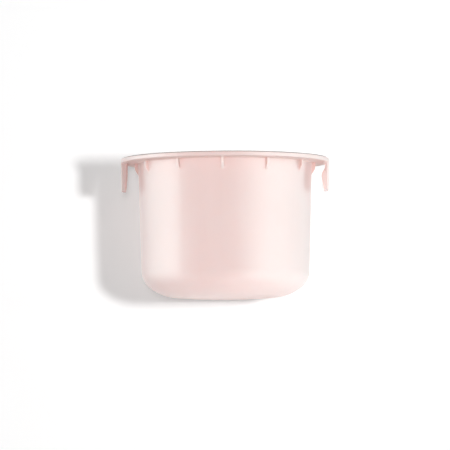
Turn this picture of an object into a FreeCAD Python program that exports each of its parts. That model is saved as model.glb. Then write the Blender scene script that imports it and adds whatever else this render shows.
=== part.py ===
import FreeCAD, Part
import math
import os

# A flanged insert pot: it hangs by its flange in the mouth of a holder and clips to it with two tongues.
# Millimetres, +Z up, origin at the centre of the base. The tongues lie on the X axis, the snap one at +X.

# Pot
pot_height = 38.4
body_diameter = 48.4          # outside of the wall, carried up to the top of the flange
flange_overhang = 4.8         # beyond the wall, all round
flange_diameter = body_diameter + 2 * flange_overhang
flange_thickness = 1.1
flange_edge_chamfer = 0.25
mouth_chamfer = 0.4
wall_draft = 1.6              # degrees
wall_thickness = 1.2
floor_thickness = 1.3
heel_tight_radius = 6.0       # the heel's curve next to the wall
heel_wide_radius = 12.2       # the heel's curve next to the base
heel_bend = 50.0              # degrees of turn at which the two curves meet
heel_inside_radius = 8.0
heel_inside_bevels = 3
foot_ring_width = 2.5         # flat ring that the pot stands on
foot_recess = 0.4

# Gussets under the flange
gusset_count = 12
gusset_width = 0.75
gusset_reach = 0.95           # beyond the wall
gusset_height = 3.0
gusset_land = 1.65            # upright part of a gusset's outer edge

# Tongues at the flange's edge
tongue_width = 8.0
tongue_drop = 8.0             # below the flange
tongue_lean = 0.3             # how far the outer face leans in at the tip
tongue_tip_chamfer = 0.3      # outer edge of the tip
tongue_tip_round = 0.3        # inner edge of the tip
snap_neck = 1.2
snap_neck_drop = 1.7
snap_bead = 1.0               # how far the bead stands in from the neck
snap_bead_drop = 3.7
snap_bead_round = 1.5
snap_neck_round = 0.8
snap_tip = 1.25
guide_inset = 0.25            # of the blade's outer face from the flange's edge
guide_thickness = 1.6
guide_taper_drop = 5.2
guide_taper_round = 2.0
guide_tip = 1.0
root_clearance = 0.03         # round the flexing root
root_end_clearance = 0.06

# Peel seal
seal_margin = 0.4             # bare edge of the flange round the seal
seal_diameter = flange_diameter - 2 * seal_margin
seal_thickness = 0.2
tab_width = 12.0
tab_length = 15.0
fold_clearance = 0.02

# Sizes worked out from the ones above
flange_radius = flange_diameter / 2
flange_under = pot_height - flange_thickness
root_radius = flange_thickness / 2
root_height = flange_under + root_radius
draft = math.radians(wall_draft)


def wall_radius(height):
    return body_diameter / 2 - (pot_height - height) * math.tan(draft)


def vector(x, z):
    return FreeCAD.Vector(x, 0, z)


# Closed outline in the XZ plane. A corner is (x, z, radius of its round), in order round the outline.
def soft_outline(corners):
    points = [vector(x, z) for x, z, radius in corners]
    count = len(points)
    starts = []
    ends = []
    rounds = []
    for index, (x, z, radius) in enumerate(corners):
        point = points[index]
        back = (points[index - 1] - point).normalize()
        ahead = (points[(index + 1) % count] - point).normalize()
        half_angle = back.getAngle(ahead) / 2
        setback = radius / math.tan(half_angle)
        starts.append(point + back * setback)
        ends.append(point + ahead * setback)
        if radius:
            inward = (back + ahead).normalize()
            middle = point + inward * (radius / math.sin(half_angle) - radius)
            rounds.append(Part.Arc(starts[-1], middle, ends[-1]).toShape())
        else:
            rounds.append(None)
    edges = []
    for index in range(count):
        if rounds[index]:
            edges.append(rounds[index])
        here = ends[index]
        there = starts[(index + 1) % count]
        if here.distanceToPoint(there) > 1e-6:
            edges.append(Part.LineSegment(here, there).toShape())
    return Part.Face(Part.Wire(edges))


# Straight bar along Y, centred on the XZ plane
def bar(face, width):
    return face.translated(FreeCAD.Vector(0, -width / 2, 0)).extrude(FreeCAD.Vector(0, width, 0))


def rod(x, z, radius, width):
    return Part.makeCylinder(radius, width, FreeCAD.Vector(x, -width / 2, z), FreeCAD.Vector(0, 1, 0))


def block(x_low, x_high, z_low, z_high, width):
    corner = FreeCAD.Vector(x_low, -width / 2, z_low)
    return Part.makeBox(x_high - x_low, width, z_high - z_low, corner)


def half_turn(shape):
    return shape.rotated(FreeCAD.Vector(0, 0, 0), FreeCAD.Vector(0, 0, 1), 180)


# Outside of the heel: a wide curve next to the base runs into a tight one next to the wall.
# Gives the two corners that these curves round, and the radius at which the base ends.
def heel():
    bend = math.radians(heel_bend)
    gap = heel_wide_radius - heel_tight_radius
    height = heel_wide_radius - gap * math.sin(bend)
    centre = wall_radius(height) - heel_tight_radius / math.cos(draft)
    joint_x = centre + heel_tight_radius * math.cos(bend)
    joint_z = height - heel_tight_radius * math.sin(bend)
    up = heel_tight_radius * math.tan((bend - draft) / 2)
    down = heel_wide_radius * math.tan((math.pi / 2 - bend) / 2)
    lower = (joint_x - down * math.sin(bend), joint_z - down * math.cos(bend), heel_wide_radius)
    upper = (joint_x + up * math.sin(bend), joint_z + up * math.cos(bend), heel_tight_radius)
    return lower, upper, centre - gap * math.cos(bend)


# Inside of the heel, from the wall down to the floor: plain bevels between points of one curve
def heel_inside():
    centre_z = floor_thickness + heel_inside_radius
    centre_x = wall_radius(centre_z) - wall_thickness - heel_inside_radius / math.cos(draft)
    step = (math.pi / 2 - draft) / heel_inside_bevels
    turns = [draft + index * step for index in range(heel_inside_bevels + 1)]
    return [(centre_x + heel_inside_radius * math.cos(turn),
             centre_z - heel_inside_radius * math.sin(turn), 0) for turn in turns]


# Cup and flange as one turned profile
def make_shell():
    lower, upper, base_radius = heel()
    recess_radius = base_radius - foot_ring_width - foot_recess
    mouth_foot = pot_height - mouth_chamfer
    profile = soft_outline([
        (0, foot_recess, 0),
        (recess_radius, foot_recess, 0),
        (recess_radius + foot_recess, 0, 0),
        lower,
        upper,
        (wall_radius(flange_under), flange_under, 0),
        (flange_radius - flange_edge_chamfer, flange_under, 0),
        (flange_radius, flange_under + flange_edge_chamfer, 0),
        (flange_radius, pot_height - flange_edge_chamfer, 0),
        (flange_radius - flange_edge_chamfer, pot_height, 0),
        (wall_radius(pot_height) - wall_thickness + mouth_chamfer, pot_height, 0),
        (wall_radius(mouth_foot) - wall_thickness, mouth_foot, 0),
    ] + heel_inside() + [(0, floor_thickness, 0)])
    return profile.revolve(FreeCAD.Vector(0, 0, 0), FreeCAD.Vector(0, 0, 1), 360)


# One gusset, rooted half-way into the wall and the flange, and its turns round the pot
def make_gussets():
    foot = flange_under - gusset_height
    edge = wall_radius(flange_under) + gusset_reach
    top = flange_under + flange_thickness / 2
    outline = soft_outline([
        (wall_radius(foot) - wall_thickness / 2, top, 0),
        (wall_radius(foot) - wall_thickness / 2, foot, 0),
        (wall_radius(foot), foot, 0),
        (edge, flange_under - gusset_land, 0),
        (edge, top, 0),
    ])
    gusset = bar(outline, gusset_width)
    step = 360 / gusset_count
    axis = FreeCAD.Vector(0, 0, 1)
    return [gusset.rotated(FreeCAD.Vector(0, 0, 0), axis, step * turn) for turn in range(gusset_count)]


# Room in the flange's edge for one tongue's round root, open outward and downward
def make_root_notch():
    width = tongue_width + 2 * root_end_clearance
    radius = root_radius + root_clearance
    centre = flange_radius - root_radius
    below = flange_under - flange_thickness
    above = pot_height + flange_thickness
    beyond = flange_radius + flange_thickness
    seat = rod(centre, root_height, radius, width)
    outside = block(centre, beyond, below, above, width)
    under = block(centre - radius, beyond, below, root_height, width)
    return seat.fuse([outside, under])


# The moulding, parted on the plane of the flange's underside into the cup below and the flange above
def make_cup_and_flange():
    notch = make_root_notch()
    moulding = make_shell().fuse(make_gussets()).cut([notch, half_turn(notch)])
    top = pot_height + flange_thickness
    above = block(-flange_diameter, flange_diameter, flange_under, top, 2 * flange_diameter)
    return moulding.cut(above), moulding.common(above)


# A tongue is its round root, the stalk that fills the notch, and a blade with its own inner outline.
# Its outside is turned about the pot's axis: the root and stalk with the flange's edge, the blade leaning in.
def make_tongue(outside, inner_corners):
    shoulder = flange_under - root_clearance
    tip = flange_under - tongue_drop
    centre = flange_radius - root_radius
    beyond = flange_radius + flange_thickness
    turned = soft_outline([
        (0, tip, 0),
        (outside - tongue_lean - tongue_tip_chamfer, tip, 0),
        (outside - tongue_lean, tip + tongue_tip_chamfer, 0),
        (outside, shoulder, 0),
        (0, shoulder, 0),
    ])
    envelope = turned.revolve(FreeCAD.Vector(0, 0, 0), FreeCAD.Vector(0, 0, 1), 360)
    outline = soft_outline([(beyond, shoulder, 0), (beyond, tip, 0)] + inner_corners)
    blade = bar(outline, tongue_width).common(envelope)
    stalk = block(centre - root_radius, beyond, shoulder, root_height, tongue_width)
    root = rod(centre, root_height, root_radius, tongue_width)
    head = root.fuse(stalk).common(Part.makeCylinder(flange_radius, 2 * pot_height))
    return blade.fuse(head).removeSplitter()


# Neck, a bead with a steep locking side above, and a long lead-in below
def make_snap_tongue():
    neck = flange_radius - snap_neck
    return make_tongue(flange_radius, [
        (flange_radius - tongue_lean - snap_tip, flange_under - tongue_drop, tongue_tip_round),
        (neck - snap_bead, flange_under - snap_bead_drop, snap_bead_round),
        (neck, flange_under - snap_neck_drop, snap_neck_round),
        (neck, flange_under - root_clearance, 0),
    ])


# Plain blade, tapered on the inside towards the tip
def make_guide_tongue():
    outside = flange_radius - guide_inset
    inside = outside - guide_thickness
    tongue = make_tongue(outside, [
        (outside - tongue_lean - guide_tip, flange_under - tongue_drop, tongue_tip_round),
        (inside, flange_under - guide_taper_drop, guide_taper_round),
        (inside, flange_under - root_clearance, 0),
    ])
    return half_turn(tongue)


# The fold of the peel seal is a chord of its disc, as long as the tab is wide
fold_x = math.sqrt((seal_diameter / 2) ** 2 - (tab_width / 2) ** 2)
fold_z = pot_height + seal_thickness + fold_clearance / 2


# Membrane on the flange, cut off at the fold
def make_seal():
    disc = Part.makeCylinder(seal_diameter / 2, seal_thickness, FreeCAD.Vector(0, 0, pot_height))
    edge = seal_diameter / 2 + seal_thickness
    seat = rod(fold_x, fold_z, seal_thickness + fold_clearance, seal_diameter)
    beyond = block(fold_x, edge, pot_height - seal_thickness, fold_z + seal_thickness, seal_diameter)
    return disc.cut([seat, beyond])


# Tab folded back over the membrane, with a round end and a rolled fold
def make_pull_tab():
    half = tab_width / 2
    end = fold_x - tab_length
    corners = [
        FreeCAD.Vector(fold_x, half, fold_z),
        FreeCAD.Vector(end + half, half, fold_z),
        FreeCAD.Vector(end, 0, fold_z),
        FreeCAD.Vector(end + half, -half, fold_z),
        FreeCAD.Vector(fold_x, -half, fold_z),
    ]
    edges = [
        Part.LineSegment(corners[0], corners[1]).toShape(),
        Part.Arc(corners[1], corners[2], corners[3]).toShape(),
        Part.LineSegment(corners[3], corners[4]).toShape(),
        Part.LineSegment(corners[4], corners[0]).toShape(),
    ]
    sheet = Part.Face(Part.Wire(edges)).extrude(FreeCAD.Vector(0, 0, seal_thickness))
    fold = rod(fold_x, fold_z, seal_thickness, tab_width)
    return sheet.fuse(fold).removeSplitter()


cup, flange = make_cup_and_flange()
parts = {
    "cup": cup,
    "flange": flange,
    "snap_tongue": make_snap_tongue(),
    "guide_tongue": make_guide_tongue(),
    "peel_seal": make_seal(),
    "pull_tab": make_pull_tab(),
}

os.makedirs("parts", exist_ok=True)
for name, shape in parts.items():
    shape.exportStep("parts/" + name + ".step")
    box = shape.optimalBoundingBox(False, False)
    print(name, len(shape.Solids), "solid", shape.isValid(), round(shape.Volume, 2), "mm3",
          [round(v, 3) for v in (box.XMin, box.XMax, box.YMin, box.YMax, box.ZMin, box.ZMax)])
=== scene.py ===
import math

import bpy
import numpy as np
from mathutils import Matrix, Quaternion, Vector


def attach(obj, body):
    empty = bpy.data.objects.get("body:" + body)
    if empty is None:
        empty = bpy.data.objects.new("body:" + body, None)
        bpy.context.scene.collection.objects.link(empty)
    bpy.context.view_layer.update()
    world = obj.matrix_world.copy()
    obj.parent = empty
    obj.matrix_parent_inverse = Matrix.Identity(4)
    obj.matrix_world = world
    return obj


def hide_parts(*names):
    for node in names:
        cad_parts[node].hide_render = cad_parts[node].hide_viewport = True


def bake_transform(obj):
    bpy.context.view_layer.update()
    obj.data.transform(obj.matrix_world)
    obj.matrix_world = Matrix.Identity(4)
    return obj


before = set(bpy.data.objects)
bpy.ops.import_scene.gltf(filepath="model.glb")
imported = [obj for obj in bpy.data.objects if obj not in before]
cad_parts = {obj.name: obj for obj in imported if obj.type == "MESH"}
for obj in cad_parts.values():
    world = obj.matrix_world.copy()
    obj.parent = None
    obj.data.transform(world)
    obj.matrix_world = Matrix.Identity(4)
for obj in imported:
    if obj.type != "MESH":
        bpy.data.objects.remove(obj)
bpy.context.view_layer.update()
mm = 0.001


# small tools for surfaces

def turnAngles(startDegrees, endDegrees, count):
    return np.radians(np.linspace(startDegrees, endDegrees, count))


# points of a circle arc in the (radius, height) plane: centre + size * (cos, sin)
def arcPoints(centre, size, startDegrees, endDegrees, count):
    angles = turnAngles(startDegrees, endDegrees, count)
    return np.stack([centre[0] + size * np.cos(angles), centre[1] + size * np.sin(angles)], 1)


# straight run of points, both ends included
def runPoints(start, end, count):
    return np.linspace(start, end, count)


# ramp from 0 to 1 with soft corners: half the difference of two hyperbolas
def softRamp(values, softness):
    rise = np.sqrt(values ** 2 + softness ** 2)
    fall = np.sqrt((values - 1) ** 2 + softness ** 2)
    return 0.5 * (rise - fall + 1)


# 0 below low, 1 above high, and 3 * share^2 - 2 * share^3 between them
def smoothStep(values, low, high):
    share = np.clip((values - low) / (high - low), 0, 1)
    return share * share * (3 - 2 * share)


# quads between neighbouring rows of a grid, whose columns close on themselves if wrapped
def gridQuads(rows, columns, wrapped):
    row = np.arange(rows - 1)[:, None]
    column = np.arange(columns if wrapped else columns - 1)[None, :]
    after = (column + 1) % columns
    corners = [row * columns + column, row * columns + after]
    corners += [(row + 1) * columns + after, (row + 1) * columns + column]
    return np.stack(np.broadcast_arrays(*corners), -1).reshape(-1, 4)


# fan from one point to a closed ring of the grid
def poleFan(pole, ring, outward):
    after = np.roll(ring, -1)
    sides = (after, ring) if outward else (ring, after)
    return np.stack([np.full(len(ring), pole), *sides], 1)


# all the faces of a wrapped grid that two poles close, one below its first row and one past its last
def closedFaces(rows, columns):
    ring = np.arange(columns)
    faces = gridQuads(rows, columns, True).tolist()
    faces += poleFan(rows * columns, ring, True).tolist()
    faces += poleFan(rows * columns + 1, ring + (rows - 1) * columns, False).tolist()
    return faces


def addMesh(name, points, faces, material, sharpDegrees=38):
    mesh = bpy.data.meshes.new(name)
    mesh.from_pydata((points * mm).tolist(), [], faces)
    mesh.update()
    mesh.shade_smooth()
    mesh.set_sharp_from_angle(angle=math.radians(sharpDegrees))
    mesh.materials.append(material)
    piece = bpy.data.objects.new(name, mesh)
    bpy.context.scene.collection.objects.link(piece)
    return piece


# one number at each point of a mesh, for its material
def addValues(piece, name, numbers):
    values = piece.data.attributes.new(name, "FLOAT", "POINT")
    values.data.foreach_set("value", np.asarray(numbers, dtype=np.float32))


# small tools for materials

def addNode(tree, kind, **settings):
    node = tree.nodes.new(kind)
    for setting, value in settings.items():
        setattr(node, setting, value)
    return node


def newMaterial(name):
    material = bpy.data.materials.new(name)
    material.use_nodes = True
    tree = material.node_tree
    tree.nodes.clear()
    output = addNode(tree, "ShaderNodeOutputMaterial")
    return material, tree, output


def mathNode(tree, operation, first, second=None, third=None):
    node = addNode(tree, "ShaderNodeMath", operation=operation)
    for socket, value in zip(node.inputs, (first, second, third)):
        if value is None:
            continue
        if isinstance(value, (int, float)):
            socket.default_value = value
        else:
            tree.links.new(value, socket)
    return node.outputs[0]


def mixColour(tree, factor, first, second):
    node = addNode(tree, "ShaderNodeMix", data_type="RGBA")
    for socket, value in ((node.inputs[0], factor), (node.inputs[6], first), (node.inputs[7], second)):
        if isinstance(value, (int, float)):
            socket.default_value = value
        elif isinstance(value, tuple):
            socket.default_value = (*value, 1)
        else:
            tree.links.new(value, socket)
    return node.outputs[2]


# noise drawn out along the axes where the stretch is small
def drawnNoise(tree, place, stretch, scale, detail):
    mapping = addNode(tree, "ShaderNodeMapping")
    mapping.inputs["Scale"].default_value = stretch
    tree.links.new(place, mapping.inputs["Vector"])
    node = addNode(tree, "ShaderNodeTexNoise")
    tree.links.new(mapping.outputs[0], node.inputs["Vector"])
    node.inputs["Scale"].default_value = scale
    node.inputs["Detail"].default_value = detail
    return node.outputs[0]


skinGrain = {
    "driftDetail": 3,
    "grainDetail": 4,
    "grainRoughness": 0.65,
    "grainShare": 0.6,           # of the roughness; the rest follows the drift
}


# surface skin that plastic and foil share: a wide drift of tone, and a fine grain for gloss and relief
def makeSkinGroup():
    group = bpy.data.node_groups.new("surfaceSkin", "ShaderNodeTree")
    face = group.interface
    face.new_socket("Place", in_out="INPUT", socket_type="NodeSocketVector")
    for name in ("Drift Scale", "Grain Scale", "Gloss Low", "Gloss High"):
        face.new_socket(name, in_out="INPUT", socket_type="NodeSocketFloat")
    for name in ("Drift", "Grain", "Roughness"):
        face.new_socket(name, in_out="OUTPUT", socket_type="NodeSocketFloat")
    start = addNode(group, "NodeGroupInput")
    end = addNode(group, "NodeGroupOutput")
    drift = addNode(group, "ShaderNodeTexNoise")
    drift.inputs["Detail"].default_value = skinGrain["driftDetail"]
    grain = addNode(group, "ShaderNodeTexNoise")
    grain.inputs["Detail"].default_value = skinGrain["grainDetail"]
    grain.inputs["Roughness"].default_value = skinGrain["grainRoughness"]
    for node, scale in ((drift, "Drift Scale"), (grain, "Grain Scale")):
        group.links.new(start.outputs["Place"], node.inputs["Vector"])
        group.links.new(start.outputs[scale], node.inputs["Scale"])
    share = mathNode(group, "MULTIPLY", grain.outputs[0], skinGrain["grainShare"])
    share = mathNode(group, "MULTIPLY_ADD", drift.outputs[0], 1 - skinGrain["grainShare"], share)
    span = mathNode(group, "SUBTRACT", start.outputs["Gloss High"], start.outputs["Gloss Low"])
    rough = mathNode(group, "MULTIPLY_ADD", share, span, start.outputs["Gloss Low"])
    group.links.new(drift.outputs[0], end.inputs["Drift"])
    group.links.new(grain.outputs[0], end.inputs["Grain"])
    group.links.new(rough, end.inputs["Roughness"])
    return group


skinGroup = makeSkinGroup()


def placeSkin(tree, finish, gloss):
    place = addNode(tree, "ShaderNodeTexCoord")
    skin = addNode(tree, "ShaderNodeGroup", node_tree=skinGroup)
    tree.links.new(place.outputs["Object"], skin.inputs["Place"])
    skin.inputs["Drift Scale"].default_value = finish["driftScale"]
    skin.inputs["Grain Scale"].default_value = finish["grainScale"]
    skin.inputs["Gloss Low"].default_value, skin.inputs["Gloss High"].default_value = gloss
    return place.outputs["Object"], skin


plastic = {
    "deepPink": (0.755, 0.568, 0.541),
    "palePink": (0.785, 0.610, 0.584),
    "toneGain": 1.6,             # spreads the drift over both pinks
    "toneShift": -0.3,
    # pale colour for the rubbed grain and for the painted sheen on the gussets' crests
    "rubAndSheenPink": (0.84, 0.73, 0.71),
    "rubLevel": 0.58,            # grain above this is rubbed first
    "rubGain": 1.4,
    # painted shade: a deeper pink on the gussets' sides and under the flange
    "paintedShadePink": (0.58, 0.34, 0.29),
    "gloss": (0.285, 0.325),
    "matteRise": 0.40,           # more roughness where the mould is eroded, as under the flange and the base
    "driftScale": 70.0,
    "grainScale": 3200.0,
    "grainDepth": 0.05,
    "grainHeight": 0.00004,      # metres
    "flowScale": 360.0,          # faint lines that the melt leaves up the wall
    "flowStretch": (1, 1, 0.05),
    "flowDetail": 2,
    "ior": 1.5,
    "lightShare": 0.2,           # of the light, that spreads under the skin
    "lightDepth": 0.0006,        # how far it spreads, in metres
    "lightRadius": (1.0, 0.5, 0.4),
}


# pale pink moulded plastic: drifting tone, faint flow lines up the wall, pale rubbed grain and a painted sheen
# on the gussets' crests, painted shade as a deeper pink on their sides and under the flange, satin grain, and
# light spread under the skin
def makePlastic(name, flowShare):
    material, tree, output = newMaterial(name)
    place, skin = placeSkin(tree, plastic, plastic["gloss"])
    flow = drawnNoise(tree, place, plastic["flowStretch"], plastic["flowScale"], plastic["flowDetail"])
    tone = mathNode(tree, "MULTIPLY_ADD", flow, flowShare, skin.outputs["Drift"])
    tone = mathNode(tree, "MULTIPLY_ADD", tone, plastic["toneGain"] / (1 + flowShare), plastic["toneShift"])
    colour = mixColour(tree, tone, plastic["deepPink"], plastic["palePink"])
    # painted sheen on the gussets' crests, added to the pale rubbed grain
    paintedSheen = addNode(tree, "ShaderNodeAttribute", attribute_name="paintedSheen")
    paleShare = mathNode(tree, "SUBTRACT", skin.outputs["Grain"], plastic["rubLevel"])
    paleShare = mathNode(tree, "MULTIPLY_ADD", paleShare, plastic["rubGain"], paintedSheen.outputs["Fac"])
    colour = mixColour(tree, paleShare, colour, plastic["rubAndSheenPink"])
    # painted shade: a deeper pink on the gussets' sides and under the flange
    paintedShade = addNode(tree, "ShaderNodeAttribute", attribute_name="paintedShade")
    colour = mixColour(tree, paintedShade.outputs["Fac"], colour, plastic["paintedShadePink"])
    bump = addNode(tree, "ShaderNodeBump")
    bump.inputs["Strength"].default_value = plastic["grainDepth"]
    bump.inputs["Distance"].default_value = plastic["grainHeight"]
    tree.links.new(skin.outputs["Grain"], bump.inputs["Height"])
    matte = addNode(tree, "ShaderNodeAttribute", attribute_name="matte")
    skinRough = skin.outputs["Roughness"]
    rough = mathNode(tree, "MULTIPLY_ADD", matte.outputs["Fac"], plastic["matteRise"], skinRough)
    shader = addNode(tree, "ShaderNodeBsdfPrincipled")
    tree.links.new(colour, shader.inputs["Base Color"])
    tree.links.new(rough, shader.inputs["Roughness"])
    tree.links.new(bump.outputs[0], shader.inputs["Normal"])
    shader.inputs["IOR"].default_value = plastic["ior"]
    shader.inputs["Subsurface Weight"].default_value = plastic["lightShare"]
    shader.inputs["Subsurface Radius"].default_value = plastic["lightRadius"]
    shader.inputs["Subsurface Scale"].default_value = plastic["lightDepth"]
    tree.links.new(shader.outputs[0], output.inputs["Surface"])
    return material


foil = {
    "bright": (0.87, 0.86, 0.85),
    "dull": (0.70, 0.685, 0.675),
    "toneGain": 1.5,             # spreads the drift over both tones
    "toneShift": -0.6,
    "gloss": (0.24, 0.44),
    "driftScale": 160.0,
    "grainScale": 5200.0,
    "rollScale": 1500.0,         # fine drawn lines along X
    "rollStretch": (0.03, 1, 1),
    "rollDetail": 3,
    "rollTone": 0.6,
    "rollHeight": 0.12,
    "embossPitch": 0.0011,
    "embossTurn": 45.0,          # degrees
    "embossDepth": 0.00003,
    "embossStrength": 0.6,
    "edgeDark": (0.24, 0.20, 0.185),
    "edgePale": (0.46, 0.40, 0.38),
    "edgeGain": 1.4,
    "edgeShift": -0.7,
    "edgeGloss": (0.5, 0.7),
    "layerScale": 16000.0,
    "layerStretch": (0.02, 0.02, 1),
    "layerDetail": 2,
    "layerTone": 0.7,
}


# rolled lidding foil: drawn lines along X, soft creases, and an embossed lattice, sin(u) * sin(v) on turned axes
def makeFoil(name, embossShare):
    material, tree, output = newMaterial(name)
    place, skin = placeSkin(tree, foil, foil["gloss"])
    lines = drawnNoise(tree, place, foil["rollStretch"], foil["rollScale"], foil["rollDetail"])
    tone = mathNode(tree, "MULTIPLY_ADD", lines, foil["rollTone"], skin.outputs["Drift"])
    tone = mathNode(tree, "MULTIPLY_ADD", tone, foil["toneGain"], foil["toneShift"])
    colour = mixColour(tree, tone, foil["dull"], foil["bright"])
    turned = addNode(tree, "ShaderNodeMapping")
    turned.inputs["Rotation"].default_value = (0, 0, math.radians(foil["embossTurn"]))
    tree.links.new(place, turned.inputs["Vector"])
    axes = addNode(tree, "ShaderNodeSeparateXYZ")
    tree.links.new(turned.outputs[0], axes.inputs[0])
    turnsPerMetre = 2 * math.pi / foil["embossPitch"]
    waves = [mathNode(tree, "SINE", mathNode(tree, "MULTIPLY", axes.outputs[axis], turnsPerMetre))
             for axis in ("X", "Y")]
    lattice = mathNode(tree, "MULTIPLY", waves[0], waves[1])
    height = mathNode(tree, "MULTIPLY_ADD", lattice, embossShare, skin.outputs["Drift"])
    height = mathNode(tree, "MULTIPLY_ADD", lines, foil["rollHeight"], height)
    bump = addNode(tree, "ShaderNodeBump")
    bump.inputs["Strength"].default_value = foil["embossStrength"]
    bump.inputs["Distance"].default_value = foil["embossDepth"]
    tree.links.new(height, bump.inputs["Height"])
    shader = addNode(tree, "ShaderNodeBsdfPrincipled")
    shader.inputs["Metallic"].default_value = 1
    tree.links.new(colour, shader.inputs["Base Color"])
    tree.links.new(skin.outputs["Roughness"], shader.inputs["Roughness"])
    tree.links.new(bump.outputs[0], shader.inputs["Normal"])
    tree.links.new(shader.outputs[0], output.inputs["Surface"])
    return material


# cut edge of the laminate: dull layers of lacquer, foil and sealing film, lying in thin stripes
def makeCutEdge(name):
    material, tree, output = newMaterial(name)
    place, skin = placeSkin(tree, foil, foil["edgeGloss"])
    layers = drawnNoise(tree, place, foil["layerStretch"], foil["layerScale"], foil["layerDetail"])
    tone = mathNode(tree, "MULTIPLY_ADD", layers, foil["layerTone"], skin.outputs["Drift"])
    tone = mathNode(tree, "MULTIPLY_ADD", tone, foil["edgeGain"], foil["edgeShift"])
    colour = mixColour(tree, tone, foil["edgeDark"], foil["edgePale"])
    shader = addNode(tree, "ShaderNodeBsdfPrincipled")
    tree.links.new(colour, shader.inputs["Base Color"])
    tree.links.new(skin.outputs["Roughness"], shader.inputs["Roughness"])
    tree.links.new(shader.outputs[0], output.inputs["Surface"])
    return material


potPlastic = makePlastic("potPlastic", flowShare=0.5)
tonguePlastic = makePlastic("tonguePlastic", flowShare=0.2)
sealFoil = makeFoil("sealFoil", embossShare=0.5)
tabFoil = makeFoil("tabFoil", embossShare=0.25)
cutEdge = makeCutEdge("cutEdge")
print("materials made")


# pot: cup, flange and gussets as one skin, sizes in millimetres

pot = {
    "height": 38.4,
    "flangeRadius": 29.0,
    "flangeThickness": 1.1,
    "edgeRound": 0.25,
    "partingRidge": 0.02,        # raised line where the mould halves meet, round the flange's edge
    "partingHalf": 0.06,         # half the ridge's height
    "wallRadiusAtTop": 24.2,
    "draft": 1.6,                # degrees
    "wall": 1.2,
    "floor": 1.3,
    "floorEye": 0.6,             # radius where the middle of the floor closes
    "heelTight": 6.0,
    "heelWide": 12.2,
    "heelBend": 50.0,            # degrees
    "heelInside": 8.0,
    "mouthRound": 0.4,
    "rootRound": 0.35,
    "footWidth": 2.5,
    "footRecess": 0.35,
    "footRamp": 2.4,             # the recess runs out softly into the foot ring
    "gateRadius": 1.2,
    "gateHeight": 0.08,
    "gateSoft": 0.4,             # to each side of the gate's radius
    "gussetCount": 12,
    "gussetWidth": 0.75,
    "gussetReach": 0.95,
    "gussetHeight": 3.3,
    "gussetLand": 1.65,
    "gussetRunIn": 0.4,          # rows are close together from this far below the gussets
    "gussetSoftness": 0.1,       # of the gusset's outline, as a share of its slope
    "gussetSide": 0.16,          # width over which a gusset's side runs out into the wall
    "baseMatte": 0.7,
    "baseMatteRows": 32,         # it runs out over so many rows of the heel
    "paintedShadeRoot": 0.3,            # painted shade: the colour is this much deeper under the flange, where it meets the wall
    "paintedShadeSides": 0.35,          # and on the gussets' sides
    "leastSheen": 0.2,             # least painted sheen, on the crests of the gussets beside the tongues
    "sheenFocus": 6,
    "sheenFrom": 0.6,              # share of a crest's rise
}

# points along each stretch of the profile, then across a gusset and between two of them
potMesh = {
    "gate": 9,
    "base": 4,
    "ramp": 13,
    "heelArc": 20,
    "lowWall": 14,
    "gussetWall": 30,
    "root": 7,
    "underside": 12,
    "edgeArc": 7,
    "top": 6,
    "lip": 8,
    "innerWall": 14,
    "innerHeel": 24,
    "innerFloor": 8,
    "gussetSide": 9,
    "gussetCrest": 7,
    "betweenGussets": 11,
}


def wallRadius(height):
    return pot["wallRadiusAtTop"] - (pot["height"] - height) * math.tan(math.radians(pot["draft"]))


# heel: a wide arc next to the floor runs into a tight arc next to the wall
def heelPoints():
    tight, wide = pot["heelTight"], pot["heelWide"]
    bend = math.radians(pot["heelBend"])
    gap = wide - tight
    height = wide - gap * math.sin(bend)
    centre = wallRadius(height) - tight / math.cos(math.radians(pot["draft"]))
    wideCentre = (centre - gap * math.cos(bend), wide)
    wideArc = arcPoints(wideCentre, wide, -90, -pot["heelBend"], potMesh["heelArc"])
    tightArc = arcPoints((centre, height), tight, -pot["heelBend"], -pot["draft"], potMesh["heelArc"])
    return np.concatenate([wideArc, tightArc[1:]])


# underside: the gate's button, the recess, and a soft ramp down to the foot ring
def basePoints(footStart):
    recess = pot["footRecess"]
    gateStart, gateEnd = pot["gateRadius"] - pot["gateSoft"], pot["gateRadius"] + pot["gateSoft"]
    gateRun = np.linspace(gateStart, gateEnd, potMesh["gate"])
    button = pot["gateHeight"] * (1 - smoothStep(gateRun, gateStart, gateEnd))
    gate = np.stack([gateRun, recess - button], 1)
    rampStart = footStart - pot["footRamp"]
    rampRun = np.linspace(rampStart, footStart, potMesh["ramp"])
    ramp = np.stack([rampRun, recess * (1 - smoothStep(rampRun, rampStart, footStart))], 1)
    return np.concatenate([gate, runPoints(gate[-1], ramp[0], potMesh["base"])[1:-1], ramp])


# wall: drafted, with its rows close together where the gussets stand, and how far a gusset carries each row out
def wallPoints(start, under):
    foot = under - pot["gussetHeight"]
    runIn = foot - pot["gussetRunIn"]
    low = np.linspace(start, runIn, potMesh["lowWall"])[1:-1]
    heights = np.concatenate([low, np.linspace(runIn, under - pot["rootRound"], potMesh["gussetWall"])])
    wall = np.stack([wallRadius(heights), heights], 1)
    slope = pot["gussetHeight"] - pot["gussetLand"]
    rampShare = softRamp((heights - foot) / slope, pot["gussetSoftness"])
    gussetRadius = wallRadius(under) + pot["gussetReach"]
    return wall, (gussetRadius - wall[:, 0]) * rampShare


# edge of the flange: a round, the parting ridge and another round
def rimPoints(edge, under):
    bend = pot["edgeRound"]
    middle = under + pot["flangeThickness"] / 2
    half = pot["partingHalf"]
    return np.concatenate([
        arcPoints((edge - bend, under + bend), bend, -90, 0, potMesh["edgeArc"])[1:],
        [(edge, middle - half), (pot["flangeRadius"], middle), (edge, middle + half)],
        arcPoints((edge - bend, pot["height"] - bend), bend, 0, 90, potMesh["edgeArc"]),
    ])
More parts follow.
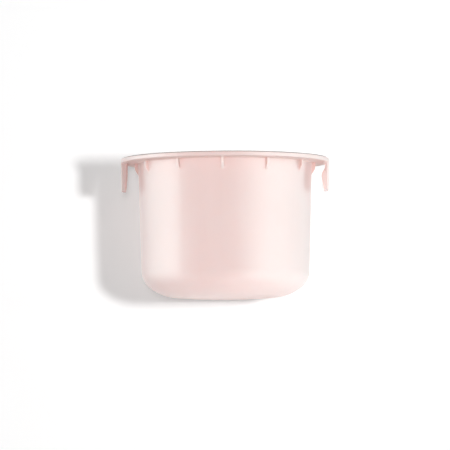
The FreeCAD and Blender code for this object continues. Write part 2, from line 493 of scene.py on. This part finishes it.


# The profile runs from the middle of the base, up the outside, over the flange and down the inside.
# The second value says how far a gusset carries each point outward, the third how matte the mould is there,
# and the fourth how much painted shade deepens the colour.
def potProfile():
    under = pot["height"] - pot["flangeThickness"]
    edge = pot["flangeRadius"] - pot["partingRidge"]
    heel = heelPoints()
    base = basePoints(heel[0, 0] - pot["footWidth"])
    wall, wallCarry = wallPoints(heel[-1, 1], under)
    topCarry = wallCarry[-1]
    rootRound = pot["rootRound"]
    rootCentre = (wall[-1, 0] + rootRound, under - rootRound)
    root = arcPoints(rootCentre, rootRound, 180, 90, potMesh["root"])[1:]
    flatEnd = edge - pot["edgeRound"]
    underside = runPoints((root[-1, 0], under), (flatEnd, under), potMesh["underside"])[1:]
    underCarry = topCarry * (1 - np.linspace(0, 1, potMesh["underside"])[1:])
    rim = rimPoints(edge, under)
    mouth = wallRadius(pot["height"]) - pot["wall"]
    lipCentre = (mouth + pot["mouthRound"], pot["height"] - pot["mouthRound"])
    top = runPoints((flatEnd, pot["height"]), (lipCentre[0], pot["height"]), potMesh["top"])[1:]
    lip = arcPoints(lipCentre, pot["mouthRound"], 90, 180, potMesh["lip"])[1:]
    inside = pot["heelInside"]
    insideRise = pot["floor"] + inside
    insideCentre = wallRadius(insideRise) - (pot["wall"] + inside) / math.cos(math.radians(pot["draft"]))
    inner = arcPoints((insideCentre, insideRise), inside, -90, -pot["draft"], potMesh["innerHeel"])
    innerWall = runPoints(lip[-1], inner[-1], potMesh["innerWall"])[1:-1]
    innerFloor = runPoints(inner[0], (pot["floorEye"], pot["floor"]), potMesh["innerFloor"])[1:]
    parts = [base, heel, wall, root, underside, rim, top, lip, innerWall, inner[::-1], innerFloor]
    carries, matte, paintedShade = ([np.zeros(len(part)) for part in parts] for values in range(3))
    carries[2] = wallCarry
    carries[3] += topCarry
    carries[4] = underCarry
    matte[0] += pot["baseMatte"]
    matte[1] += pot["baseMatte"] * (1 - smoothStep(np.arange(len(heel)), 0, pot["baseMatteRows"]))
    # root and underside of the flange: more roughness, and painted shade
    for index in (3, 4):
        matte[index] += 1
        paintedShade[index] += pot["paintedShadeRoot"]
    return tuple(np.concatenate(values) for values in (parts, carries, matte, paintedShade))


# angles round the axis, close together across each gusset, and how high each stands on a gusset's crest
def potAngles():
    step = 2 * math.pi / pot["gussetCount"]
    half = pot["gussetWidth"] / 2
    side = pot["gussetSide"] / 2
    sideRun = np.linspace(-half - side, -half + side, potMesh["gussetSide"])
    crestRun = np.linspace(-half + side, half - side, potMesh["gussetCrest"])[1:-1]
    across = np.concatenate([sideRun, crestRun, -sideRun[::-1]]) / wallRadius(pot["height"])
    between = np.linspace(across[-1], step + across[0], potMesh["betweenGussets"])[1:-1]
    one = np.concatenate([across, between])
    starts = step * np.arange(pot["gussetCount"])
    angles = (starts[:, None] + one[None, :]).ravel()
    fromMiddle = np.abs(np.tile(one, pot["gussetCount"])) * wallRadius(pot["height"])
    crest = 1 - smoothStep(fromMiddle, half - side, half + side)
    return angles, crest


# turned surface: radius = profile radius + carry * gusset crest, round the Z axis
def makePot():
    profile, carry, matte, paintedShade = potProfile()
    angles, crest = potAngles()
    radius = profile[:, :1] + carry[:, None] * crest[None, :]
    height = np.broadcast_to(profile[:, 1:], radius.shape)
    points = np.stack([radius * np.cos(angles), radius * np.sin(angles), height], -1).reshape(-1, 3)
    rows, columns = radius.shape
    poles = np.array([(0, 0, profile[0, 1]), (0, 0, profile[-1, 1])])
    piece = addMesh("pot_moulding", np.concatenate([points, poles]), closedFaces(rows, columns), potPlastic)
    addValues(piece, "matte", np.concatenate([np.repeat(matte, columns), [matte[0], matte[-1]]]))
    # painted sheen: the gussets' crests are painted pale, most on the front and back ones and least beside the
    # tongues
    standing = np.clip(carry[:, None] / pot["gussetReach"] * 2, 0, 1)     # full from half the reach on
    paleShare = pot["leastSheen"] + (1 - pot["leastSheen"]) * np.sin(angles) ** pot["sheenFocus"]
    paintedSheen = standing * (paleShare * smoothStep(crest, pot["sheenFrom"], 1))[None, :]
    addValues(piece, "paintedSheen", np.concatenate([paintedSheen.ravel(), [0, 0]]))
    # painted shade on their sides, a deeper colour: the share is 0 on the wall and on the crest, and 1 half way
    # between
    sides = pot["paintedShadeSides"] * standing * (1 - (2 * crest - 1) ** 4)[None, :]
    addValues(piece, "paintedShade", np.concatenate([np.maximum(sides, paintedShade[:, None]).ravel(), [0, 0]]))
    return piece


potPiece = makePot()
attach(potPiece, "pot")
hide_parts("cup", "flange")
print("pot made:", len(potPiece.data.polygons), "faces")


# tongues, sizes in millimetres

tongue = {
    "width": 8.0,
    "drop": 7.75,
    "lean": 0.12,
    "tipRound": 0.12,
    "rootFlare": 0.45,
    "sideFlare": 0.6,            # share of the flare that widens the root
    "sunk": 0.5,                 # how far the root runs up into the flange
    "clear": 0.03,               # the root's outer face lies this far inside the flange's edge
    "insetRun": 1.8,             # drop over which the outer face reaches its inset
    "waistRun": 1.4,             # drop over which the neck widens into the blade
    "cornerLimit": 0.9,          # largest corner, as a share of half the thickness
    "easeTurns": 3,              # how often the inner outline's corners are eased
    "bendInset": 0.6,            # about the middle of the root's thickness, from the flange's edge
}

# rows along the blade, and points round its section
tongueMesh = {"tip": 8, "flare": 8, "blade": 44, "side": 9, "corner": 7}

snapTongue = {
    "inset": 0.0,                # further in below the root
    "matte": 0.3,
    "innerRound": 0.5,
    "outerRound": 0.25,
    "neckRound": 0.52,           # both corners of the neck
    "waist": 0.5,                # the neck is this much narrower at each end
    "waistEnd": 3.1,
    # inner outline below the flange: (thickness from the flange's edge, drop)
    "outline": [(1.2, 0), (1.17, 1.45), (1.24, 1.75), (1.47, 2.2), (1.85, 2.9), (2.07, 3.35),
                (2.16, 3.8), (2.14, 4.3), (2.0, 5.1), (1.83, 6.0), (1.6, 7.1), (1.43, 8.0)],
}

guideTongue = {
    "inset": 0.06,
    "matte": 1.0,
    "innerRound": 0.3,
    "outerRound": 0.35,
    "neckRound": 0.35,
    "waist": 0.0,
    "waistEnd": 2.8,
    "outline": [(1.8, 0), (1.76, 2.0), (1.67, 4.3), (1.52, 6.2), (1.26, 8.0)],
}


# rounded rectangle as unit offsets: the place of each point's corner centre, and its direction from there
def sectionOffsets(sideCount, cornerCount):
    place = []
    lean = []
    corners = [(1, -1), (1, 1), (-1, 1), (-1, -1)]
    for index, (x, y) in enumerate(corners):
        angles = turnAngles(index * 90 - 90, index * 90, cornerCount)
        place.append(np.tile((x, y), (cornerCount, 1)))
        lean.append(np.stack([np.cos(angles), np.sin(angles)], 1))
        following = corners[(index + 1) % len(corners)]
        between = runPoints((x, y), following, sideCount)[1:-1]
        place.append(between)
        lean.append(np.tile(lean[-1][-1], (len(between), 1)))
    return np.concatenate(place).astype(float), np.concatenate(lean)


# Blade: a rounded rectangle carried down from the flange, as thick as the outline says at each height,
# its outer face bent to the flange's circle, with a flared root, a waist at the neck and a rounded tip.
def makeTongue(name, sizes, side):
    under = pot["height"] - pot["flangeThickness"]
    tip = under - tongue["drop"]
    bend = tongue["tipRound"]
    rootFlare = tongue["rootFlare"]
    tipRun = tip + bend * (1 - np.cos(turnAngles(90, 0, tongueMesh["tip"])))
    flareRun = under - rootFlare * (1 - np.sin(turnAngles(0, 90, tongueMesh["flare"])))
    bladeRun = np.linspace(under - rootFlare, tip + bend, tongueMesh["blade"])[1:-1]
    heights = np.concatenate([[under + tongue["sunk"]], flareRun[::-1], bladeRun, tipRun])
    drop = under - heights
    thickness, drops = np.array(sizes["outline"]).T
    spot = np.clip(drop, 0, tongue["drop"])
    inner = np.interp(spot, drops, thickness)
    for turn in range(tongue["easeTurns"]):
        inner[1:-1] = (inner[:-2] + 2 * inner[1:-1] + inner[2:]) / 4
    inset = sizes["inset"] * smoothStep(spot, 0, tongue["insetRun"])
    outer = tongue["clear"] + inset + tongue["lean"] * spot / tongue["drop"]
    up = np.clip((heights - under + rootFlare) / rootFlare, 0, 1)
    flare = rootFlare * (1 - np.sqrt(1 - up ** 2))
    down = np.clip((tip + bend - heights) / bend, 0, 1)
    shrink = bend * (1 - np.sqrt(1 - down ** 2))
    xOuter = (pot["flangeRadius"] - outer - shrink)[:, None]
    xInner = (pot["flangeRadius"] - inner - flare + shrink)[:, None]
    neck = 1 - smoothStep(drop, sizes["waistEnd"] - tongue["waistRun"], sizes["waistEnd"])
    halfWidth = tongue["width"] / 2 - shrink - sizes["waist"] * neck + flare * tongue["sideFlare"]
    largest = (xOuter - xInner) / 2 * tongue["cornerLimit"]
    innerCorner, outerCorner = (
        np.minimum((neck * sizes["neckRound"] + (1 - neck) * sizes[corner])[:, None], largest)
        for corner in ("innerRound", "outerRound"))
    place, lean = sectionOffsets(tongueMesh["side"], tongueMesh["corner"])
    outward = (place[:, 0] + 1) / 2
    corner = outward * outerCorner + (1 - outward) * innerCorner
    x = outward * (xOuter - outerCorner) + (1 - outward) * (xInner + innerCorner) + corner * lean[:, 0]
    y = (halfWidth[:, None] - corner) * place[:, 1] + corner * lean[:, 1]
    share = (x - xInner) / (xOuter - xInner)
    x = x - share * (pot["flangeRadius"] - np.sqrt(pot["flangeRadius"] ** 2 - y ** 2))
    z = np.broadcast_to(heights[:, None], x.shape)
    points = np.stack([side * x, side * y, z], -1)
    rows, columns = x.shape
    faces = gridQuads(rows, columns, True)[:, ::-1].tolist()
    faces.append(list(range(columns)))
    faces.append(list(range(rows * columns - 1, (rows - 1) * columns - 1, -1)))
    piece = addMesh(name, points.reshape(-1, 3), faces, tonguePlastic)
    addValues(piece, "matte", np.full(rows * columns, sizes["matte"]))
    return piece


# make a blade, bake its place into its mesh and hide the tongue it replaces
def hangTongue(name, sizes, side, body):
    piece = makeTongue(name, sizes, side)
    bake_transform(piece)
    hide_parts(body)
    print(name, "made:", len(piece.data.polygons), "faces")
    return piece


snapPiece = hangTongue("snap_blade", snapTongue, 1, "snap_tongue")
guidePiece = hangTongue("guide_blade", guideTongue, -1, "guide_tongue")


# peel seal and its pull tab, sizes in millimetres

seal = {
    "radius": 28.6,
    "thickness": 0.2,
    "clear": 0.004,              # between the sheet and the flange
    "foldX": 27.9636,
    "foldGap": 0.24,             # the membrane stops this far before the fold's axis
    "bandInner": 24.0,           # heat-seal band pressed over the flange
    "bandOuter": 27.9,
    "bandDepth": 0.05,
    "bandLeast": 0.35,           # share of the depth between the pressed rings
    "bandRibs": 5,
    "bandSteps": 6.0,            # the band goes down over one part in so many of its width
    "bandSoftness": 0.2,
    "sag": 0.35,
    "ripple": 0.1,
    "swirls": [(3, 1.0, 0.7), (5, 0.6, 2.1)],     # ripples round the axis: (how many, height, turn)
    # cut edge from above: (share of the rim's radius, share of the thickness)
    "edge": [(0.999, 0.88), (1.0, 0.68), (1.0, 0.25), (0.999, 0.06)],
}

# points round the sheet, and its rows from the middle out, as shares of the rim's radius
sealMesh = {
    "columns": 288,
    "eye": 0.03,
    "middleRows": 26,
    "bandStart": 0.80,
    "bandRows": 56,
    "bandEnd": 0.99,
    "rimRows": [0.9935, 0.9965],
}


# Membrane: polar sheet, radius = share * rim(angle), where the rim is a circle cut off at the fold.
# It sags a little over the mouth, ripples gently and carries the pressed rings of the seal band.
def makeSeal():
    columns = sealMesh["columns"]
    angles = 2 * math.pi * np.arange(columns) / columns
    fold = (seal["foldX"] - seal["foldGap"]) / np.maximum(np.cos(angles), 1e-3)     # far off behind the axis
    rim = np.minimum(seal["radius"], fold)
    middle = np.linspace(sealMesh["eye"], sealMesh["bandStart"], sealMesh["middleRows"])[:-1]
    band = np.linspace(sealMesh["bandStart"], sealMesh["bandEnd"], sealMesh["bandRows"])
    share = np.concatenate([middle, band, sealMesh["rimRows"]])
    radius = share[:, None] * rim[None, :]
    mouth = wallRadius(pot["height"]) - pot["wall"]
    hollow = np.clip(1 - (radius / mouth) ** 2, 0, None) ** 2
    swirl = sum(height * np.cos(count * angles + turn) for count, height, turn in seal["swirls"])
    sag = -seal["sag"] * hollow + seal["ripple"] * hollow * (radius / mouth) * swirl[None, :]
    across = (radius - seal["bandInner"]) / (seal["bandOuter"] - seal["bandInner"])
    goingDown = softRamp(across * seal["bandSteps"], seal["bandSoftness"])
    pressed = goingDown * softRamp((1 - across) * seal["bandSteps"], seal["bandSoftness"])
    ribs = 0.5 - 0.5 * np.cos(2 * math.pi * seal["bandRibs"] * np.clip(across, 0, 1))
    dent = seal["bandDepth"] * pressed * (seal["bandLeast"] + (1 - seal["bandLeast"]) * ribs)
    base = pot["height"]
    upper = base + seal["thickness"] + sag - dent
    lower = base + seal["clear"] + sag
    sheet = np.stack([radius * np.cos(angles), radius * np.sin(angles)], -1)
    below = np.concatenate([sheet, lower[..., None]], -1)
    above = np.concatenate([sheet, upper[..., None]], -1)
    edgeShare, edgeRise = (np.array(values)[::-1, None] for values in zip(*seal["edge"]))
    edgeRadius = edgeShare * rim
    edgeHeight = np.broadcast_to(base + seal["thickness"] * edgeRise, edgeRadius.shape)
    edge = np.stack([edgeRadius * np.cos(angles), edgeRadius * np.sin(angles), edgeHeight], -1)
    points = np.concatenate([below, edge, above[::-1]])
    poles = np.array([(0, 0, base - seal["sag"]), (0, 0, base + seal["thickness"] - seal["sag"])])
    faces = closedFaces(len(points), columns)
    piece = addMesh("seal_membrane", np.concatenate([points.reshape(-1, 3), poles]), faces, sealFoil)
    row = np.arange(len(faces)) // columns
    onEdge = (row >= len(share) - 1) & (row < len(share) + len(edge))
    piece.data.materials.append(cutEdge)
    piece.data.polygons.foreach_set("material_index", onEdge.astype(np.int32))
    return piece


sealPiece = makeSeal()
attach(sealPiece, "peel_seal")
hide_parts("peel_seal")
print("seal made:", len(sealPiece.data.polygons), "faces")

tab = {
    "width": 12.0,
    "length": 15.0,
    "sheet": 0.13,
    "clear": 0.01,               # between the sheet and the membrane
    "foldHeight": 38.61,
    "foldRadius": 0.19,
    "rollFrom": 78.0,            # degrees, where the upper side runs into the rolled fold
    "rollTo": -200.0,
    "rollStart": 0.985,          # share of the length at which the sheet ends there
    "lift": 0.03,                # free end stands a little off the membrane
    "ribCount": 5,
    "ribPitch": 0.9,
    "ribHeight": 0.04,
    "ribWidth": 0.2,
    "ribStart": 3.0,             # from the round end
    "ribInset": 1.2,             # from both sides
    "ribFade": 0.6,
}

# rows across the tab, the outermost this many degrees round its end, and points along the sheet and the fold
tabMesh = {"rows": 61, "outermost": 88.0, "tip": [0, 0.004], "sheetStart": 0.02, "sheet": 70, "roll": 26}


# Tab: a closed profile in the XZ plane, sheet and rolled fold, carried along Y. The round end shortens the
# sheet towards both sides, and pressed ribs cross it for grip.
def makePullTab():
    half = tab["width"] / 2
    end = seal["foldX"] - tab["length"]
    across = half * np.sin(turnAngles(-tabMesh["outermost"], tabMesh["outermost"], tabMesh["rows"]))
    tipX = (end + half - np.sqrt(half ** 2 - across ** 2))[:, None]
    share = np.concatenate([tabMesh["tip"], np.linspace(tabMesh["sheetStart"], 1, tabMesh["sheet"])])
    share = share[share < tab["rollStart"]]
    x = tipX + (seal["foldX"] - tipX) * share[None, :]
    fromEnd = x - end
    lift = tab["lift"] * np.clip(1 - fromEnd / tab["length"], 0, 1) ** 2
    ribPlaces = tab["ribStart"] + tab["ribPitch"] * np.arange(tab["ribCount"])
    ribs = np.exp(-((fromEnd[..., None] - ribPlaces) / tab["ribWidth"]) ** 2).sum(-1)
    inside = smoothStep(half - tab["ribInset"] - np.abs(across), 0, tab["ribFade"])[:, None]
    upper = tab["foldHeight"] + tab["sheet"] + lift + tab["ribHeight"] * ribs * inside
    lower = tab["foldHeight"] + tab["clear"] + lift
    roll = turnAngles(tab["rollFrom"], tab["rollTo"], tabMesh["roll"])
    rollX = np.broadcast_to(seal["foldX"] + tab["foldRadius"] * np.cos(roll), (len(across), len(roll)))
    rollZ = np.broadcast_to(tab["foldHeight"] + tab["foldRadius"] * np.sin(roll), rollX.shape)
    loopX = np.concatenate([x, rollX, x[:, ::-1]], 1)
    loopZ = np.concatenate([upper, rollZ, lower[:, ::-1]], 1)
    loopY = np.broadcast_to(across[:, None], loopX.shape)
    points = np.stack([loopX, loopY, loopZ], -1)
    rows, columns = loopX.shape
    faces = gridQuads(rows, columns, True).tolist()
    faces.append(list(range(columns - 1, -1, -1)))
    faces.append(list(range((rows - 1) * columns, rows * columns)))
    return addMesh("pull_tab_foil", points.reshape(-1, 3), faces, tabFoil)


tabPiece = makePullTab()
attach(tabPiece, "pull_tab")
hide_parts("pull_tab")
print("pull tab made:", len(tabPiece.data.polygons), "faces")


# stage: floor, backdrop, reflector cards, lamps, world and camera

view = {
    "azimuth": 1.6,              # degrees, from the front towards the snap tongue
    "elevation": -3.72,
    "roll": 0.3,
    "distance": 1.5,             # metres
    "lens": 432.0,
    "sensor": 36.0,
    "aim": (-0.00008, 0.0, 0.02009),
    "clip": (0.01, 50.0),
}


# unit vector from the pot towards a place seen at this azimuth and elevation
def towards(azimuth, elevation):
    a, e = math.radians(azimuth), math.radians(elevation)
    return Vector((math.sin(a) * math.cos(e), -math.cos(a) * math.cos(e), math.sin(e)))


def addCamera():
    data = bpy.data.cameras.new("photoCamera")
    data.lens = view["lens"]
    data.sensor_width = view["sensor"]
    data.clip_start, data.clip_end = view["clip"]
    camera = bpy.data.objects.new("photoCamera", data)
    bpy.context.scene.collection.objects.link(camera)
    ray = towards(view["azimuth"], view["elevation"])
    camera.location = Vector(view["aim"]) + ray * view["distance"]
    turn = (-ray).to_track_quat("-Z", "Y") @ Quaternion((0, 0, 1), math.radians(-view["roll"]))
    camera.rotation_euler = turn.to_euler()
    bpy.context.scene.camera = camera


stage = {
    "floorSize": 3.0,
    "floorColour": (0.9, 0.895, 0.89),
    "floorGlow": 0.32,
    "backdropY": 30.5,           # millimetres behind the pot's axis
    "backdropColour": (0.97, 0.97, 0.97),
    "backdropGlow": 0.15,
    "backdropSize": 0.9,
    "sheetPoints": 5,            # along each side of a sheet
}


# white sheet seen from its front only: lit plainly, with a little glow of its own to keep it white
def makeStageMaterial(name, colour, glow):
    material, tree, output = newMaterial(name)
    lit = addNode(tree, "ShaderNodeBsdfDiffuse")
    lit.inputs["Color"].default_value = (*colour, 1)
    glowing = addNode(tree, "ShaderNodeEmission")
    glowing.inputs["Strength"].default_value = glow
    both = addNode(tree, "ShaderNodeAddShader")
    tree.links.new(lit.outputs[0], both.inputs[0])
    tree.links.new(glowing.outputs[0], both.inputs[1])
    clear = addNode(tree, "ShaderNodeBsdfTransparent")
    side = addNode(tree, "ShaderNodeNewGeometry")
    pick = addNode(tree, "ShaderNodeMixShader")
    tree.links.new(side.outputs["Backfacing"], pick.inputs[0])
    tree.links.new(both.outputs[0], pick.inputs[1])
    tree.links.new(clear.outputs[0], pick.inputs[2])
    tree.links.new(pick.outputs[0], output.inputs["Surface"])
    return material


# flat sheet: corner + u * first side + v * second side
def addSheet(name, corner, first, second, material):
    count = stage["sheetPoints"]
    u, v = np.meshgrid(np.linspace(0, 1, count), np.linspace(0, 1, count))
    points = np.array(corner) + u[..., None] * np.array(first) + v[..., None] * np.array(second)
    sheet = addMesh(name, points.reshape(-1, 3) / mm, gridQuads(count, count, False).tolist(), material)
    sheet.visible_shadow = False
    sheet.visible_diffuse = False
    sheet.visible_glossy = False     # the gloss shows the white surroundings instead
    return sheet


def addFloor():
    size = stage["floorSize"]
    paint = makeStageMaterial("floorPaint", stage["floorColour"], stage["floorGlow"])
    addSheet("floor", (-size / 2, -size / 2, 0), (size, 0, 0), (0, size, 0), paint)


def addBackdrop():
    size = stage["backdropSize"]
    y = stage["backdropY"] * mm
    paint = makeStageMaterial("backdropPaint", stage["backdropColour"], stage["backdropGlow"])
    return addSheet("backdrop", (-size / 2, y, -size / 2), (size, 0, 0), (0, 0, size), paint)


# pieces that a lamp's light reaches or passes by, depending on the state
def gatherPieces(name, pieces, state):
    group = bpy.data.collections.new(name)
    for piece in pieces:
        group.objects.link(piece)
    for entry in group.collection_objects:
        entry.light_linking.link_state = state
    return group


# let a lamp light only these pieces, or all but these
def linkLamp(lamp, pieces, state):
    lamp.light_linking.receiver_collection = gatherPieces(lamp.name + "Receivers", pieces, state)


# let a lamp's light pass these pieces without a shadow
def passLamp(lamp, pieces):
    lamp.light_linking.blocker_collection = gatherPieces(lamp.name + "Passes", pieces, "EXCLUDE")


# reflector cards stand round the pot and show only in its gloss: azimuths from the front, heights in degrees
cards = {
    "leftCard": {"from": -150.0, "to": -54.0, "softFrom": 78.0, "softTo": 14.0, "low": -66.0, "softLow": 56.0,
                 "top": 42.0, "softTop": 1.0, "glow": 5.1, "tint": (0.72, 1.0, 1.0)},
    "rightCard": {"from": 8.0, "to": 165.0, "softFrom": 50.0, "softTo": 100.0, "low": -89.0, "softLow": 50.0,
                  "top": 42.0, "softTop": 1.0, "glow": 6.0, "tint": (0.75, 1.0, 1.0)},
    "lowCard": {"from": 100.0, "to": 182.0, "softFrom": 30.0, "softTo": 30.0, "low": -75.0, "softLow": 25.0,
                "top": 15.0, "softTop": 45.0, "glow": 1.1, "tint": (0.75, 1.0, 1.0)},
}
cardBall = {"distance": 0.6, "centre": (0, 0, 0.02), "columns": 61, "rows": 33}     # metres


# card: part of a ball round the pot, its glow fading towards all four sides into the white behind it
def addCard(name, sizes):
    rows, columns = cardBall["rows"], cardBall["columns"]
    a, e = np.meshgrid(np.linspace(sizes["from"], sizes["to"], columns),
                       np.linspace(sizes["low"], sizes["top"], rows))
    fade = smoothStep(a, sizes["from"], sizes["from"] + sizes["softFrom"])
    fade = fade * (1 - smoothStep(a, sizes["to"] - sizes["softTo"], sizes["to"]))
    fade = fade * smoothStep(e, sizes["low"], sizes["low"] + sizes["softLow"])
    fade = fade * (1 - smoothStep(e, sizes["top"] - sizes["softTop"], sizes["top"]))
    a, e = np.radians(a), np.radians(e)
    ball = np.stack([np.sin(a) * np.cos(e), -np.cos(a) * np.cos(e), np.sin(e)], -1)
    points = cardBall["distance"] * ball + np.array(cardBall["centre"])
    material, tree, output = newMaterial(name)
    shade = addNode(tree, "ShaderNodeAttribute", attribute_name="fade")
    glow = mathNode(tree, "MULTIPLY", shade.outputs["Fac"], sizes["glow"])
    glowing = addNode(tree, "ShaderNodeEmission")
    glowing.inputs["Color"].default_value = (*sizes["tint"], 1)
    tree.links.new(glow, glowing.inputs["Strength"])
    both = addNode(tree, "ShaderNodeAddShader")
    tree.links.new(glowing.outputs[0], both.inputs[0])
    tree.links.new(addNode(tree, "ShaderNodeBsdfTransparent").outputs[0], both.inputs[1])
    tree.links.new(both.outputs[0], output.inputs["Surface"])
    card = addMesh(name, points.reshape(-1, 3) / mm, gridQuads(rows, columns, False).tolist(), material)
    addValues(card, "fade", fade.ravel())
    card.visible_camera = False
    card.visible_diffuse = False
    card.visible_shadow = False
    card.visible_transmission = False
    linkLamp(card, [sealPiece, tabPiece], "EXCLUDE")     # the foil mirrors plain white instead


# parallel lamps: azimuth from the front, elevation and width in degrees
lamps = {
    "contactLamp": {"azimuth": 1.7, "elevation": -1.2, "width": 3.2, "strength": 0.44},
    "leftLamp": {"azimuth": -68.0, "elevation": -12.0, "width": 14.0, "strength": 0.45},
    "rightLamp": {"azimuth": 24.0, "elevation": 0.0, "width": 12.0, "strength": 0.5},
    "frontLamp": {"azimuth": -18.0, "elevation": 6.0, "width": 12.0, "strength": 0.5},
    "bounceLamp": {"azimuth": 4.0, "elevation": -29.0, "width": 30.0, "strength": 1.5},
    "edgeLeftLamp": {"azimuth": -122.0, "elevation": 0.0, "width": 85.0, "strength": 0.9},
    "edgeRightLamp": {"azimuth": 120.0, "elevation": 0.0, "width": 85.0, "strength": 1.3},
    "topLamp": {"azimuth": 20.0, "elevation": 78.0, "width": 20.0, "strength": 0.5},
    "backLamp": {"azimuth": 180.0, "elevation": 25.0, "width": 40.0, "strength": 1.2},
    "tongueLamp": {"azimuth": -90.0, "elevation": -50.0, "width": 40.0, "strength": 0.8},
}

# near lamps, in metres and watts: one throws the pot's shadow on the backdrop, one lights the base from below
nearLamps = {
    "shadowLamp": {"azimuth": 20.0, "elevation": 0.58, "distance": 0.744, "radius": 0.033, "power": 11.8},
    "baseLamp": {"azimuth": 50.0, "elevation": -69.0, "distance": 0.048, "radius": 0.012, "power": 0.036},
}


def placeLamp(name, data):
    lamp = bpy.data.objects.new(name, data)
    lamp.visible_camera = False
    lamp.visible_glossy = False
    bpy.context.scene.collection.objects.link(lamp)
    return lamp


def addLamp(name, sizes):
    data = bpy.data.lights.new(name, "SUN")
    data.energy = sizes["strength"]
    data.angle = math.radians(sizes["width"])
    lamp = placeLamp(name, data)
    lamp.rotation_euler = towards(sizes["azimuth"], sizes["elevation"]).to_track_quat("Z", "Y").to_euler()
    return lamp


def addNearLamp(name, sizes):
    data = bpy.data.lights.new(name, "POINT")
    data.energy = sizes["power"]
    data.shadow_soft_size = sizes["radius"]
    lamp = placeLamp(name, data)
    lamp.location = towards(sizes["azimuth"], sizes["elevation"]) * sizes["distance"]
    return lamp


# The backdrop has its own two lamps, and the guide tongue stays dull beside the lit wall. The wall beside both
# tongues stays bright, because the edge lamps pass them by.
def addLamps(backdrop):
    placed = {name: addLamp(name, sizes) for name, sizes in lamps.items()}
    placed.update({name: addNearLamp(name, sizes) for name, sizes in nearLamps.items()})
    tongues = [snapPiece, guidePiece]
    for name, lamp in placed.items():
        if name in ("shadowLamp", "contactLamp"):
            linkLamp(lamp, [backdrop], "INCLUDE")
        elif name == "tongueLamp":
            linkLamp(lamp, tongues, "INCLUDE")
        elif name in ("bounceLamp", "edgeLeftLamp"):
            linkLamp(lamp, [backdrop, guidePiece], "EXCLUDE")
        else:
            linkLamp(lamp, [backdrop], "EXCLUDE")
    passLamp(placed["edgeLeftLamp"], tongues)
    passLamp(placed["edgeRightLamp"], tongues)
    passLamp(placed["tongueLamp"], [potPiece])


surroundings = {
    "fillLow": 0.16,
    "fillHigh": 0.42,
    "glossLow": 0.85,            # how white the surroundings are when mirrored from below
    "glossFrom": -0.08,          # height of the mirrored ray at which they start to grey
    "glossTo": -0.3,
}


# grey light for the object, rising from below to above, and white where the surroundings are seen or mirrored,
# a little greyer where they are mirrored from below
def addWorld():
    world = bpy.data.worlds.new("studio")
    world.use_nodes = True
    tree = world.node_tree
    tree.nodes.clear()
    path = addNode(tree, "ShaderNodeLightPath")
    seen = mathNode(tree, "MAXIMUM", path.outputs["Is Camera Ray"], path.outputs["Is Glossy Ray"])
    seen = mathNode(tree, "MAXIMUM", seen, path.outputs["Is Transmission Ray"])
    low, high = surroundings["fillLow"], surroundings["fillHigh"]
    place = addNode(tree, "ShaderNodeTexCoord")
    axes = addNode(tree, "ShaderNodeSeparateXYZ")
    tree.links.new(place.outputs["Generated"], axes.inputs[0])
    fill = mathNode(tree, "MULTIPLY_ADD", axes.outputs["Z"], (high - low) / 2, (high + low) / 2)
    below = addNode(tree, "ShaderNodeMapRange")
    tree.links.new(axes.outputs["Z"], below.inputs["Value"])
    below.inputs["From Min"].default_value = surroundings["glossFrom"]
    below.inputs["From Max"].default_value = surroundings["glossTo"]
    below.inputs["To Min"].default_value = 0
    below.inputs["To Max"].default_value = 1 - surroundings["glossLow"]
    grey = mathNode(tree, "MULTIPLY", below.outputs[0], path.outputs["Is Glossy Ray"])
    missing = mathNode(tree, "SUBTRACT", mathNode(tree, "SUBTRACT", 1.0, grey), fill)
    level = mathNode(tree, "MULTIPLY_ADD", seen, missing, fill)
    background = addNode(tree, "ShaderNodeBackground")
    tree.links.new(level, background.inputs["Strength"])
    background.inputs["Color"].default_value = (1, 1, 1, 1)
    output = addNode(tree, "ShaderNodeOutputWorld")
    tree.links.new(background.outputs[0], output.inputs["Surface"])
    bpy.context.scene.world = world


addCamera()
addFloor()
backdropSheet = addBackdrop()
for cardName, cardSizes in cards.items():
    addCard(cardName, cardSizes)
addLamps(backdropSheet)
addWorld()
bpy.context.scene.view_settings.view_transform = "Standard"
print("stage, lamps and camera set")

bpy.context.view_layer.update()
